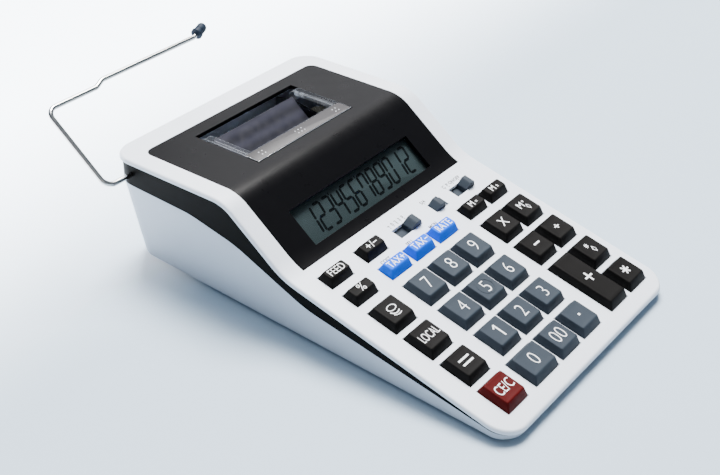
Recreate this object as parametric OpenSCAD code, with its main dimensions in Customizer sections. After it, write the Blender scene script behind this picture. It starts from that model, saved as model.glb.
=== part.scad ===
// Printing desk calculator: wedge case, tilted display, clear tear bar, keypad
// and a wire arm that holds the paper roll behind the case.
// X runs to the right, Y from the front to the rear, Z up from the table.

/* [Case] */
// Overall width of the cover
body_w = 140; // [132:1:180]
// Overall length of the cover
body_l = 222; // [214:1:270]
// Plan radius of the cover's corners
corner_r = 12; // [6:1:20]
// Thickness of the cover plate
cover_t = 2; // [1.8:0.1:2.4]
// Wall of the band and of the lower housing
wall = 2; // [1.5:0.1:2.5]
// Floor thickness of the lower housing
floor_t = 1.2; // [1:0.1:1.5]
// Height of the rubber feet
foot_h = 1.5; // [1:0.1:4]
// Step from the cover's edge in to the band
band_inset = 1.2; // [0.6:0.1:2]
// Lean of the housing's sides
side_draft = 6.5; // [3:0.5:8]
// Lean of the housing's rear wall
rear_draft = 8; // [3:0.5:10]

/* [Profile] */
// Slope of the keypad
keypad_tilt = 12.4; // [10:0.2:14]
// Slope of the display
display_tilt = 36; // [30:1:42]
// Fall of the roof towards the rear
roof_tilt = 1.2; // [0:0.1:2]
// Length of the keypad from the front edge to the fold
keypad_l = 117; // [116:0.5:124]
// Height of the cover at its front edge
front_h = 5.9; // [5.7:0.1:8]
// Height of the crest behind the display
crest_z = 56.2; // [54:0.1:62]
// Blend radius at the fold
fold_r = 33; // [20:1:40]
// Blend radius at the crest
crest_r = 20; // [10:1:30]

/* [Display] */
// Margin of the dark panel from the cover's sides
panel_margin = 10; // [8:0.5:14]
// Reach of the dark panel in front of the fold
panel_lap = 3; // [1:0.5:6]
// Margin of the panel from the cover's rear edge
panel_rear_gap = 13; // [10:1:18]
// Thickness of the dark panel
panel_t = 1.2; // [0.8:0.1:1.4]
// Width of the display opening
lcd_w = 88.4; // [76:0.5:92]
// Depth of the display opening along the slope
lcd_d = 19.2; // [14:0.2:21]
// Start of the display opening up the slope from the fold
lcd_start = 3.6; // [2:0.2:6]
// Thickness of the clear window
window_t = 1; // [0.8:0.1:1.5]
// Thickness of the display glass
lcd_t = 2; // [1.5:0.1:2.5]

/* [Keypad] */
// Width of a key at the cover
key_w = 14.9; // [12:0.1:16]
// Depth of a digit or function key at the cover
key_d = 15.7; // [13:0.1:17]
// Depth of a key of the two low rows
low_key_d = 8.5; // [7:0.1:10]
// Height of a key above the cover
key_h = 3.8; // [3:0.1:6]
// Travel of a key
key_travel = 1.6; // [1:0.1:1.7]
// Gap all round a key in its opening
key_gap = 0.35; // [0.25:0.05:0.5]
// Extra width of the zero key, all on its left
zero_extra = 3.6; // [0:0.2:6]
// Spacing of neighbouring columns
col_pitch = 18.4; // [17:0.1:19]
// Spacing of columns across the two wider gaps
group_pitch = 25.2; // [24:0.1:26]
// Spacing of the four large rows
row_pitch = 19.2; // [18:0.1:20]

/* [Switches] */
// Depth of a slide switch's slot
slot_d = 6.2; // [5:0.1:7]
// Height of a switch knob above the cover
knob_h = 3; // [2:0.1:4]

/* [Printer] */
// Half-width of the printer's opening
bay_half = 34.6; // [32:0.1:36]
// Length of the printer's opening
bay_l = 39.8; // [36:0.1:40]
// Distance of the printer's opening from the cover's rear edge
bay_rear_gap = 21; // [19:0.5:23]
// Thickness of the clear tear bar
tear_t = 2; // [1.5:0.1:2.5]
// Width of the tear bar's cross piece
tear_bar_d = 8.7; // [6:0.1:12]
// Width of the tear bar's two arms
tear_arm_w = 4.4; // [3:0.1:6]
// Radius of the tear bar's pins
tear_pin_r = 0.9; // [0.7:0.05:1]
// Radius of the print drum
drum_r = 7; // [6:0.1:7.4]
// Radius of the ink roller
ink_r = 6; // [5:0.1:6.2]
// Radius of the feed roller
feed_r = 6; // [5:0.1:6.5]
// Gear module
gear_m = 0.6; // [0.5:0.05:0.65]
// Teeth on the drum's gear, a multiple of four
drum_teeth = 40; // [40]
// Teeth on the feed roller's gear
feed_teeth = 16; // [16]
// Teeth on the motor's pinion
pinion_teeth = 12; // [12]

/* [Paper arm] */
// Radius of the arm's wire
wire_r = 1.25; // [1:0.05:1.5]
// Length of the wire outside the band, up to the first bend
stub_l = 14.7; // [12:0.1:20]
// Length of the arm's leg
leg_l = 44.9; // [42:0.1:60]
// Rise of the leg above level
leg_angle = 36; // [20:1:60]
// Length of bar from the leg to the jog
bar_to_jog = 30; // [20:0.5:40]
// Length of the seat for the paper roll
seat_l = 62; // [59:0.5:64]
// Radius of the rubber cap's collar
cap_r = 3; // [2.5:0.1:4]

/* [Fits] */
// Radial clearance of shafts and pins in their bores
shaft_gap = 0.05; // [0.02:0.01:0.09]
// Gap between pieces that only lie beside each other
rest_gap = 0.15; // [0.1:0.05:0.3]

/* [Hidden] */

$fn = 40;
bend_steps = 10;
cut = 0.5;
white = "#e9edf2";
charcoal = "#26262a";
slate = "#4a535e";
jet = "#1d1c1d";
blue = "#1f7fe6";
maroon = "#6e1a1a";
steel = "#b9b9b8";

half_w = body_w / 2;
half_l = body_l / 2;
fold_y = keypad_l - half_l;
fold_z = front_h + keypad_l * tan(keypad_tilt);
panel_half = half_w - panel_margin;
panel_front = fold_y - panel_lap;
bay_rear = half_l - bay_rear_gap;
bay_front = bay_rear - bay_l;
panel_rear = half_l - panel_rear_gap;
panel_corner_r = 4.5;

// ---- Side profile: straight runs joined by arcs, as [y, z] points ----
fold = [fold_y, fold_z];
crest = [fold_y + (crest_z - fold_z) / tan(display_tilt), crest_z];

// A point moved down along the normal of a run with this tilt
function lowered(p, tilt, depth) = p + depth * [sin(tilt), -cos(tilt)];

// Height of a run at y
function run_z(p, tilt, y) = p[1] + (y - p[0]) * tan(tilt);

// Where two runs meet
function meet(p, tp, q, tq) =
    let (y = (q[1] - p[1] + p[0] * tan(tp) - q[0] * tan(tq)) / (tan(tp) - tan(tq)))
    [y, run_z(p, tp, y)];

// Arc that blends tilt t1 into tilt t2 at the corner b
function bend(b, t1, t2, r) =
    let (side = t2 > t1 ? 1 : -1)
    let (centre = b - r * tan(abs(t2 - t1) / 2) * [cos(t1), sin(t1)] + side * r * [-sin(t1), cos(t1)])
    [for (i = [0:bend_steps])
        let (t = t1 + (t2 - t1) * i / bend_steps)
        centre + side * r * [sin(t), -cos(t)]];

// The cover's outer face, lowered by depth, from the front past the rear
over = 5;
function top_line(depth) =
    let (a = lowered(fold, keypad_tilt, depth))
    let (b = lowered(fold, display_tilt, depth))
    let (c = lowered(crest, -roof_tilt, depth))
    concat(
        [[-half_l - over, run_z(a, keypad_tilt, -half_l - over)]],
        bend(meet(a, keypad_tilt, b, display_tilt), keypad_tilt, display_tilt, fold_r + depth),
        bend(meet(b, display_tilt, c, -roof_tilt), display_tilt, -roof_tilt, crest_r - depth),
        [[half_l + over, run_z(c, -roof_tilt, half_l + over)]]);

function reversed(list) = [for (i = [len(list) - 1:-1:0]) list[i]];

function keypad_z(y) = run_z(fold, keypad_tilt, y);
function roof_z(y) = run_z(crest, -roof_tilt, y);

// The seam between band and housing runs below the cover's profile
seam_front = [-half_l, keypad_z(-half_l) - cover_t / cos(keypad_tilt) - 1.1];
seam_waist = [fold_y - 11, fold_z - 12];
seam_rise = [crest[0] - 5, crest_z - 20.9];
seam_shoulder = [crest[0] + 22, crest_z - 15.8];
seam_rear = [half_l, crest_z - 14.9];
function tilt_of(p, q) = atan2(q[1] - p[1], q[0] - p[0]);
seam_tilts = [tilt_of(seam_front, seam_waist), tilt_of(seam_waist, seam_rise),
    tilt_of(seam_rise, seam_shoulder), tilt_of(seam_shoulder, seam_rear)];
seam = concat(
    [[-half_l - over, run_z(seam_front, seam_tilts[0], -half_l - over)]],
    bend(seam_waist, seam_tilts[0], seam_tilts[1], 60),
    bend(seam_rise, seam_tilts[1], seam_tilts[2], 70),
    bend(seam_shoulder, seam_tilts[2], seam_tilts[3], 60),
    [[half_l + over, run_z(seam_rear, seam_tilts[3], half_l + over)]]);

// ---- Shared shapes ----
// Extrudes a side profile of [y, z] points across the full width
module across(half) {
    translate([-half, 0, 0])
        rotate([90, 0, 90])
            linear_extrude(2 * half)
                children();
}

// Cylinder along X from x0 to x1
module rod(x0, x1, y, z, r) {
    translate([x0, y, z])
        rotate([0, 90, 0])
            cylinder(h = x1 - x0, r = r);
}

// Box given by its lowest and highest corners
module block(low, high) {
    translate(low)
        cube(high - low);
}

// Rounded rectangle, middle at the origin
module rounded(w, d, r) {
    square([w - 2 * r, d], center = true);
    square([w, d - 2 * r], center = true);
    for (x = [-1, 1], y = [-1, 1])
        translate([x * (w / 2 - r), y * (d / 2 - r)])
            circle(r);
}

// The case's plan, drawn in by inset, from the table to above the roof
module plan(inset) {
    linear_extrude(crest_z + 20)
        rounded(body_w - 2 * inset, body_l - 2 * inset, corner_r - inset);
}

// Slab that follows the cover's surface between two depths
module skin(depth0, depth1) {
    across(half_w + 1)
        polygon(concat(top_line(depth0), reversed(top_line(depth1))));
}

// Frame with X and Y on the keypad, its origin at the panel's front edge
module on_keypad() {
    translate([0, panel_front, keypad_z(panel_front)])
        rotate([keypad_tilt, 0, 0])
            children();
}

// Frame with X and Y on the display's slope, its origin at the fold
module on_display() {
    translate([0, fold_y, fold_z])
        rotate([display_tilt, 0, 0])
            children();
}

// Frame on the roof, its origin above the tear bar's pins
tear_pivot_y = bay_rear - 5.4;
module on_roof() {
    translate([0, tear_pivot_y, roof_z(tear_pivot_y)])
        rotate([-roof_tilt, 0, 0])
            children();
}

// ---- Keypad layout, in the keypad's frame ----
col = [
    -51.3, -51.3 + group_pitch, -51.3 + group_pitch + col_pitch,
    -51.3 + group_pitch + 2 * col_pitch, -51.3 + 2 * group_pitch + 2 * col_pitch,
    -51.3 + 2 * group_pitch + 3 * col_pitch
];
first_large_row = -42.7;
low_rows = [-11.3, -25.3];
function large_row(i) = first_large_row - i * row_pitch;

// Levels below the cover's surface
flange_top = cover_t + 0.1;
flange_t = 0.7;
key_bottom = flange_top + flange_t;
mat_top = key_bottom + key_travel + 0.3;
mat_t = 0.6;
board_top = mat_top + mat_t;
board_t = 1;
stem_bottom = 1.2;
dome_top = stem_bottom + key_travel + 0.4;

// One key: [name, x, s, width, depth, colour]
tall_d = key_d + row_pitch;
keys = [
    ["key_feed", col[0], low_rows[0], key_w, low_key_d, jet],
    ["key_sign", col[1], low_rows[0], key_w, low_key_d, jet],
    ["key_percent", col[0], low_rows[1], key_w, low_key_d, jet],
    ["key_tax_plus", col[1], low_rows[1], key_w, low_key_d, blue],
    ["key_tax_minus", col[2], low_rows[1], key_w, low_key_d, blue],
    ["key_rate", col[3], low_rows[1], key_w, low_key_d, blue],
    ["key_memory_total", col[4], low_rows[1], key_w, low_key_d, jet],
    ["key_memory_plus_minus", col[5], low_rows[1], key_w, low_key_d, jet],
    ["key_exchange", col[0], large_row(0), key_w, key_d, jet],
    ["key_7", col[1], large_row(0), key_w, key_d, slate],
    ["key_8", col[2], large_row(0), key_w, key_d, slate],
    ["key_9", col[3], large_row(0), key_w, key_d, slate],
    ["key_multiply", col[4], large_row(0), key_w, key_d, jet],
    ["key_memory_diamond", col[5], large_row(0), key_w, key_d, jet],
    ["key_local", col[0], large_row(1), key_w, key_d, jet],
    ["key_4", col[1], large_row(1), key_w, key_d, slate],
    ["key_5", col[2], large_row(1), key_w, key_d, slate],
    ["key_6", col[3], large_row(1), key_w, key_d, slate],
    ["key_minus", col[4], large_row(1), key_w, key_d, jet],
    ["key_divide", col[5], large_row(1), key_w, key_d, jet],
    ["key_equals", col[0], large_row(2), key_w, key_d, jet],
    ["key_1", col[1], large_row(2), key_w, key_d, slate],
    ["key_2", col[2], large_row(2), key_w, key_d, slate],
    ["key_3", col[3], large_row(2), key_w, key_d, slate],
    ["key_plus", col[4], large_row(2.5), key_w, tall_d, jet],
    ["key_subtotal", col[5], large_row(2), key_w, key_d, jet],
    ["key_clear", col[0], large_row(3), key_w, key_d, maroon],
    ["key_0", col[1] - zero_extra / 2, large_row(3), key_w + zero_extra, key_d, slate],
    ["key_00", col[2], large_row(3), key_w, key_d, slate],
    ["key_point", col[3], large_row(3), key_w, key_d, slate],
    ["key_total", col[5], large_row(3), key_w, key_d, jet]
];

// ---- Keys ----
key_side_in = 1;
key_front_in = 2.3;
key_back_in = 1.1;
key_edge_r = 0.7;
flange_l = 5;
flange_out = 0.8;
key_shell = 1.2;

module key_cap(w, d, shade) {
    color(shade) {
        difference() {
            union() {
                hull() {
                    translate([0, 0, -key_bottom])
                        linear_extrude(key_bottom + 0.4)
                            square([w, d], center = true);
                    for (x = [-1, 1], front = [0, 1])
                        translate([
                            x * (w / 2 - key_side_in - key_edge_r),
                            front == 1
                                ? -d / 2 + key_front_in + key_edge_r
                                : d / 2 - key_back_in - key_edge_r,
                            key_h - 0.3
                        ])
                            cylinder(h = 0.3, r = key_edge_r, $fn = 20);
                }
                translate([-w / 2 - flange_out, -flange_l / 2, -key_bottom])
                    cube([w + 2 * flange_out, flange_l, flange_t]);
            }
            translate([
                -w / 2 + key_shell, -d / 2 + key_shell, -key_bottom - cut
            ])
                cube([w - 2 * key_shell, d - 2 * key_shell, key_bottom + cut + 0.4]);
            translate([
                -w / 2 + key_shell + key_side_in, -d / 2 + key_shell + key_front_in, 0
            ])
                cube([
                    w - 2 * key_shell - 2 * key_side_in,
                    d - 2 * key_shell - key_front_in - key_back_in,
                    key_h - key_shell
                ]);
        }
        translate([0, 0, -stem_bottom])
            cylinder(h = stem_bottom + key_h - key_shell + 0.1, r = 2);
    }
}

module key(name) {
    for (k = keys)
        if (k[0] == name)
            on_keypad()
                translate([k[1], k[2], 0])
                    key_cap(k[3], k[4], k[5]);
}

// ---- Slide switches, in the keypad's frame ----
// One switch: [slot's left edge, slot length, knob width, knob's offset in the slot, travel]
switch_s = -12.6;
knob_gap = 0.2;
decimal = [-8.4, 16.4, 8, 8.2, 8];
rounding = [20, 9.8, 7, 0.2, 2.4];
power = [37.8, 14.6, 7, 7.4, 7.2];
skirt_t = 0.8;
skirt_top = cover_t + 0.2;
switch_body_top = skirt_top + skirt_t + 0.3;

module switch_knob(s) {
    x0 = s[0] + s[3];
    w = s[2];
    knob_d = slot_d - 2 * knob_gap;
    color(slate)
        on_keypad() {
            translate([x0, switch_s + knob_d / 2, 0])
                rotate([90, 0, 0])
                    linear_extrude(knob_d)
                        polygon([
                            [0, -skirt_top - skirt_t], [w, -skirt_top - skirt_t], [w, 0.2],
                            [w * 0.8, knob_h], [w * 0.42, knob_h], [w * 0.32, knob_h * 0.82],
                            [0, 0.2]
                        ]);
            block([x0 - s[4] - 0.4, switch_s - slot_d / 2 - 0.8, -skirt_top - skirt_t],
                [x0 + w + s[4] + 0.4, switch_s + slot_d / 2 + 0.8, -skirt_top]);
        }
}

module switch_bodies() {
    color("#3a3f45")
        on_keypad()
            for (s = [decimal, rounding, power])
                translate([
                    s[0] + s[1] / 2, switch_s, -(switch_body_top + board_top) / 2
                ])
                    cube([s[1] + 2, slot_d, board_top - switch_body_top], center = true);
}

// ---- Case screws: [x, y, seat height, split height between post and boss] ----
front_screw = [half_w - 5.7, 44.4 - half_l, foot_h + 2.6, 9];
rear_screw = [half_w - 10, half_l - 23, 27, 30];
front_post_r = 2.4;
rear_post_r = 4;
front_shoe_r = 3.4;
head_r = 2;
head_h = 1.4;
shank_r = 1.05;
screw_l = 8;
head_gap = 0.3;

module each_screw(s) {
    for (x = [-1, 1])
        translate([x * s[0], s[1], 0])
            children();
}

module case_screws() {
    color(steel)
        for (s = [front_screw, rear_screw])
            each_screw(s)
                translate([0, 0, s[2] - head_h])
                    difference() {
                        union() {
                            cylinder(h = head_h, r = head_r);
                            cylinder(h = head_h + screw_l, r = shank_r);
                        }
                        for (a = [0, 90])
                            rotate([0, 0, a])
                                translate([-1.2, -0.25, -cut])
                                    cube([2.4, 0.5, cut + 0.7]);
                    }
}

// ---- Paper arm, pivot and rest position ----
band_x = half_w - band_inset;
arm_y = half_l - 13;
arm_z = crest_z - 9;
arm_x = -band_x - stub_l;
arm_block_l = 7;
arm_block_r = 3.6;
clip_r = 2.4;
jog_l = 5.4;
jog_out = 2.3;
cap_turn = 20;
cap_l = 10.9;
cap_neck = 2.5;

module top_cover() {
    color(white)
        difference() {
            union() {
                intersection() {
                    skin(0, cover_t);
                    plan(0);
                }
                intersection() {
                    union() {
                        each_screw(front_screw)
                            translate([0, 0, front_screw[3]])
                                cylinder(h = crest_z, r = front_post_r);
                        each_screw(rear_screw)
                            translate([0, 0, rear_screw[3]])
                                cylinder(h = crest_z, r = rear_post_r);
                        on_roof()
                            for (x = [-1, 1])
                                translate([x * (bay_half + tear_ear_w / 2), 0, -tear_pin_drop / 2 - 1.1])
                                    cube([tear_ear_w, 6, tear_pin_drop + 2.2], center = true);
                    }
                    across(half_w)
                        polygon(concat(top_line(panel_t + 0.3), [[half_l + over, 0], [-half_l - over, 0]]));
                }
            }
            // Recess for the dark panel
            intersection() {
                skin(-cut, panel_t);
                panel_plan(rest_gap);
            }
            panel_openings(0);
            // Room for the panel's lips
            intersection() {
                skin(-cut, cover_t);
                panel_openings(panel_lip);
            }
            // Openings for the keys
            on_keypad()
                for (k = keys)
                    translate([k[1], k[2], -cover_t])
                        cube([k[3] + 2 * key_gap, k[4] + 2 * key_gap, 4 * cover_t], center = true);
            // Slots for the switches
            on_keypad()
                for (s = [decimal, rounding, power])
                    block([s[0], switch_s - slot_d / 2, -2 * cover_t],
                        [s[0] + s[1], switch_s + slot_d / 2, cover_t]);
            // Pilot holes for the screws
            each_screw(front_screw)
                translate([0, 0, front_screw[3] - cut])
                    cylinder(h = front_screw[2] + screw_l - front_screw[3] + 1, r = shank_r + shaft_gap);
            each_screw(rear_screw)
                translate([0, 0, rear_screw[3] - cut])
                    cylinder(h = rear_screw[2] + screw_l - rear_screw[3] + 1, r = shank_r + shaft_gap);
            tear_bores();
        }
}

// The dark panel's plan, grown by gap
module panel_plan(gap) {
    d = panel_rear - panel_front;
    r = panel_corner_r + gap;
    translate([0, (panel_front + panel_rear) / 2, 0])
        linear_extrude(crest_z + 20) {
            rounded(2 * (panel_half + gap), d + 2 * gap, r);
            translate([0, -d / 4])
                square([2 * (panel_half + gap), d / 2 + 2 * gap], center = true);
        }
}

// The display's and the printer's openings, grown by gap
module panel_openings(gap) {
    on_display()
        block([-lcd_w / 2 - gap, lcd_start - gap, -2 * cover_t],
            [lcd_w / 2 + gap, lcd_start + lcd_d + gap, 2 * cover_t]);
    block([-bay_half - gap, bay_front - gap, crest_z - 20],
        [bay_half + gap, bay_rear + gap, crest_z + 20]);
}

// Bores for the tear bar's pins
module tear_bores() {
    on_roof()
        rod(-bay_half - tear_ear_w - cut, bay_half + tear_ear_w + cut, 0, -tear_pin_drop,
            tear_pin_r + shaft_gap);
}

// Thin trim whose lips line both openings through the cover
panel_lip = 0.8;
module display_panel() {
    color(charcoal)
        difference() {
            union() {
                intersection() {
                    skin(0, panel_t);
                    panel_plan(0);
                }
                intersection() {
                    skin(0, cover_t);
                    panel_openings(panel_lip);
                }
            }
            panel_openings(0);
            tear_bores();
        }
}

window_margin = 2.6;
module display_window() {
    color("#9fb0b4", 0.35)
        on_display()
            block([-lcd_w / 2 - window_margin, lcd_start - window_margin, -cover_t - window_t],
                [lcd_w / 2 + window_margin, lcd_start + lcd_d + window_margin, -cover_t]);
}

module lcd_glass() {
    color("#47585a")
        on_display()
            block([-lcd_w / 2 - 1.5, lcd_start - 1.5, -cover_t - window_t - 0.2 - lcd_t],
                [lcd_w / 2 + 1.5, lcd_start + lcd_d + 1.5, -cover_t - window_t - 0.2]);
}

// ---- Band between the cover and the housing ----
slot_half = 30.5;
slot_low = crest_z - 11.8;
slot_high = crest_z - 6.6;
module mid_frame() {
    color(jet)
        difference() {
            union() {
                difference() {
                    intersection() {
                        plan(band_inset);
                        across(half_w)
                            polygon(concat(top_line(cover_t), reversed(seam)));
                    }
                    plan(band_inset + wall);
                }
                rod(-band_x + wall / 2, -band_x + wall + arm_block_l, arm_y, arm_z, arm_block_r);
            }
            // Bore for the wire arm
            rod(-band_x - cut, -band_x + wall + arm_block_l + cut, arm_y, arm_z, wire_r + shaft_gap);
            // Paper inlet in the rear wall
            block([-slot_half, half_l - 10, slot_low], [slot_half, half_l + cut, slot_high]);
        }
}

// ---- Lower housing ----
rear_round_r = 9;
// Side outline of the housing: leaning rear wall, rounded lower rear corner
module housing_side(inset) {
    low = foot_h + inset * floor_t / wall;
    rear = half_l - band_inset - inset;
    foot_y = rear - (crest_z - 14.9 - foot_h) * tan(rear_draft);
    r = rear_round_r - inset;
    polygon(concat(
        [[-half_l + band_inset + inset, low], [foot_y - r, low]],
        [for (i = [1:bend_steps])
            let (a = -90 + (90 - rear_draft) * i / bend_steps)
            [foot_y - r * (1 - cos(a)) + (r + r * sin(a)) * tan(rear_draft), low + r + r * sin(a)]],
        [[rear, crest_z - 14.9], [rear, crest_z], [-half_l + band_inset + inset, crest_z]]));
}

// Closed outer form of the housing, drawn in by inset, below the seam
module housing_form(inset) {
    rise = crest_z - 14.9 - foot_h;
    lean = rise * tan(side_draft);
    front_x = half_w - band_inset - inset;
    r = corner_r - band_inset - inset;
    intersection() {
        across(half_w)
            housing_side(inset);
        plan(band_inset + inset);
        across(half_w)
            polygon(concat(seam, [[half_l + over, -over], [-half_l - over, -over]]));
        hull()
            for (x = [-1, 1], up = [0, 1]) {
                translate([x * (front_x + up * lean - r), -half_l - over, foot_h + up * rise])
                    cylinder(h = 0.1, r = r, $fn = 32);
                translate([x * (front_x - (1 - up) * lean - r), half_l - band_inset - inset - r
                    - (1 - up) * rise * tan(rear_draft), foot_h + up * rise])
                    cylinder(h = 0.1, r = r, $fn = 32);
            }
    }
}

// Battery bay and door
door_half = 54;
door_front = fold_y - 3.7;
door_l = 35.4;
door_travel = 9;
door_t = 1;
tongue = 1;
cell_r = 7.2;
cell_l = 49.5;
nub_l = 1;
cell_y = [door_front + 9.7, door_front + 25.7];
cell_z = foot_h + 9;
bay_x = cell_l + nub_l + 2.9;
bay_wall = 1.2;

jack_x = half_w - 22;
jack_z = foot_h + 14;
jack_r = 4;
board_post = [[-54, -34], [54, -34], [-54, -90], [54, -90]];

module bottom_housing() {
    recess_z = foot_h + door_t + 0.2;
    door_back = door_front + door_l;
    color(white)
        difference() {
            union() {
                difference() {
                    housing_form(0);
                    housing_form(wall);
                }
                // Raised floor over the door's recess, and the battery bay's walls
                intersection() {
                    housing_form(wall / 2);
                    union() {
                        block([-door_half - 3, door_front - 2, foot_h],
                            [door_half + 3, door_back + door_travel + 2, recess_z + floor_t]);
                        difference() {
                            block([-bay_x - bay_wall, door_front - 0.5, foot_h],
                                [bay_x + bay_wall, door_back + 0.5, cell_z + cell_r + 1]);
                            block([-bay_x, door_front + 0.7, foot_h - cut],
                                [bay_x, door_back - 0.7, cell_z + cell_r + 2]);
                        }
                        each_screw(front_screw)
                            cylinder(h = front_screw[3], r = front_post_r);
                        each_screw(front_screw)
                            cylinder(h = front_screw[2] + 1, r = front_shoe_r);
                        each_screw(rear_screw)
                            cylinder(h = rear_screw[3], r = rear_post_r);
                        board_posts();
                    }
                }
            }
            // Recess, grooves and opening of the battery door
            block([-door_half - 0.3, door_front - 0.3, foot_h - cut],
                [door_half + 0.3, door_back + door_travel + 0.3, recess_z]);
            block([-door_half - tongue - 0.3, door_front - 0.3, foot_h + 0.35],
                [door_half + tongue + 0.3, door_back + door_travel + 0.3, foot_h + 0.95]);
            block([-bay_x, door_front + 2, foot_h], [bay_x, door_back - 2, recess_z + 2 * floor_t]);
            // Screw holes and their counterbores
            for (s = [front_screw, rear_screw])
                each_screw(s) {
                    translate([0, 0, foot_h - cut])
                        cylinder(h = s[2] - foot_h + cut, r = head_r + head_gap);
                    cylinder(h = crest_z, r = shank_r + shaft_gap);
                }
            // Hole for the power jack
            translate([jack_x, half_l, jack_z])
                rotate([90, 0, 0])
                    cylinder(h = 20, r = jack_r + 0.2);
        }
}

// Posts that carry the circuit board
module board_posts() {
    on_keypad()
        for (p = board_post)
            translate([p[0], p[1], -board_top - board_t - 40])
                cylinder(h = 40, r = 2);
}

module battery_door() {
    color(white)
        difference() {
            union() {
                block([-door_half, door_front, foot_h + 0.1],
                    [door_half, door_front + door_l, foot_h + 0.1 + door_t]);
                block([-door_half - tongue, door_front, foot_h + 0.45],
                    [door_half + tongue, door_front + door_l, foot_h + 0.85]);
            }
            // Finger ridges
            for (i = [0:4])
                block([-9, door_front + door_l - 4 - 1.6 * i, foot_h - cut],
                    [9, door_front + door_l - 3.2 - 1.6 * i, foot_h + 0.4]);
        }
}

module batteries() {
    color("#4d7a52")
        for (y = cell_y, x = [-1, 1]) {
            x0 = x > 0 ? nub_l / 2 : -cell_l - nub_l / 2;
            rod(x0, x0 + cell_l, y, cell_z, cell_r);
            rod(x > 0 ? x0 + cell_l - cut : x0 - nub_l, x > 0 ? x0 + cell_l + nub_l : x0 + cut,
                y, cell_z, 2.7);
        }
}

module battery_contacts() {
    plate_in = bay_x - 0.5;
    color(steel)
        for (x = [-1, 1], y = cell_y)
            translate([x * (plate_in + 0.25), y, cell_z]) {
                cube([0.5, 11, 11], center = true);
                rotate([0, -90 * x, 0])
                    cylinder(h = 1.6, r1 = 3.6, r2 = 2.4);
            }
}

module power_jack() {
    jack_y = half_l - band_inset - wall
        - (crest_z - 14.9 - jack_z) * tan(rear_draft) + 1.2;
    color("#202124")
        difference() {
            union() {
                translate([jack_x, jack_y, jack_z])
                    rotate([90, 0, 0])
                        cylinder(h = 4, r = jack_r);
                block([jack_x - 5.5, jack_y - 15, jack_z - 6.5], [jack_x + 5.5, jack_y - 2.4, jack_z + 5.5]);
            }
            translate([jack_x, jack_y + cut, jack_z])
                rotate([90, 0, 0])
                    cylinder(h = 11, r = 2.9);
        }
    color(steel)
        translate([jack_x, jack_y - 1, jack_z])
            rotate([90, 0, 0])
                cylinder(h = 10, r = 0.95);
}

foot_r = 6;
module feet() {
    color("#55585c")
        for (x = [-1, 1], y = [-half_l + 14, half_l - 24])
            translate([x * (half_w - 22), y, 0])
                cylinder(h = foot_h, r = foot_r);
}

// ---- Inside the keypad ----
board_half = 60;
board_front = max(-102.3, (foot_h + floor_t + 0.1 + (board_top + board_t) * cos(keypad_tilt)
    - keypad_z(panel_front)) / sin(keypad_tilt));
board_rear = -2;
module main_board() {
    color("#2f6b45")
        on_keypad()
            difference() {
                block([-board_half, board_front, -board_top - board_t], [board_half, board_rear, -board_top]);
                for (x = [-1, 1])
                    translate([x * (board_half - 3), board_rear - 3, -board_top - board_t - cut])
                        cylinder(h = board_t + 2 * cut, r = 1.6);
            }
}

module key_mat() {
    color("#c9cdd0")
        on_keypad() {
            block([-board_half, board_front - 2, -board_top], [board_half, -18.6, -mat_top]);
            block([-board_half, -18.6, -board_top], [-17.6, -5, -mat_top]);
            for (k = keys)
                for (dy = k[4] > 20 ? [-8, 8] : [0])
                    translate([k[1], k[2] + dy, -mat_top])
                        cylinder(h = mat_top - dome_top, r1 = 3.2, r2 = 2.2);
        }
}

// ---- Tear bar ----
tear_half = bay_half - 0.4;
tear_ear_w = 3.8;
tear_pin_drop = 2.6;
tear_proud = 0.3;
lug_r = 2.4;
module tear_bar() {
    front = bay_front + 0.3 - tear_pivot_y;
    color("#dfe9ee", 0.5)
        on_roof() {
            difference() {
                block([-tear_half, front, tear_proud - tear_t], [tear_half, 0, tear_proud]);
                block([-tear_half + tear_arm_w, front + tear_bar_d, -tear_t - 1],
                    [tear_half - tear_arm_w, 1, 1]);
            }
            for (x = [-1, 1]) {
                inner = tear_half - tear_arm_w;
                rod(x > 0 ? inner : -tear_half, x > 0 ? tear_half : -inner, 0, -tear_pin_drop, lug_r);
                rod(x > 0 ? tear_half - 1 : -tear_half - tear_ear_w + 0.6,
                    x > 0 ? tear_half + tear_ear_w - 0.6 : -tear_half + 1,
                    0, -tear_pin_drop, tear_pin_r);
            }
        }
}

// ---- Printer: shaft positions as [y, z] ----
drum_at = [bay_rear - 17, crest_z - 23.2];
ink_at = drum_at + (drum_r + ink_r + 0.7) * [cos(33), sin(33)];
feed_at = drum_at + (gear_m * (drum_teeth + feed_teeth) / 2 + 0.1) * [cos(-25), sin(-25)];
pinion_at = drum_at + (gear_m * (drum_teeth + pinion_teeth) / 2 + 0.1) * [cos(225.5), sin(225.5)];
plate_x = bay_half + 0.9;
plate_t = 1.5;
axle_r = 1.5;
motor_r = min(7.8, gear_m * (drum_teeth + pinion_teeth) / 2 - drum_r - 0.8);
motor_l = 24;
motor_shaft_r = 1;
gear_x = plate_x + plate_t + 2;
gear_t = 3;
tie_r = 1.5;
plate_front = bay_front + 0.8;
plate_rear = bay_rear + 11;
ties = [
    [plate_front + 4, drum_at[1] + 3], [plate_rear - 4, drum_at[1] - 11],
    [plate_rear - 5, drum_at[1] + 8.5]
];

module side_plate() {
    linear_extrude(plate_t)
        difference() {
            polygon([
                [plate_front, drum_at[1] - 21], [plate_rear, drum_at[1] - 21],
                [plate_rear, drum_at[1] + 11], [bay_rear + 2, drum_at[1] + 13],
                [plate_front + 11, drum_at[1] + 9], [plate_front, drum_at[1] + 6]
            ]);
            for (p = [drum_at, ink_at, feed_at])
                translate(p)
                    circle(axle_r + shaft_gap);
            translate(pinion_at)
                circle(motor_shaft_r + shaft_gap);
        }
}

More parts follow.
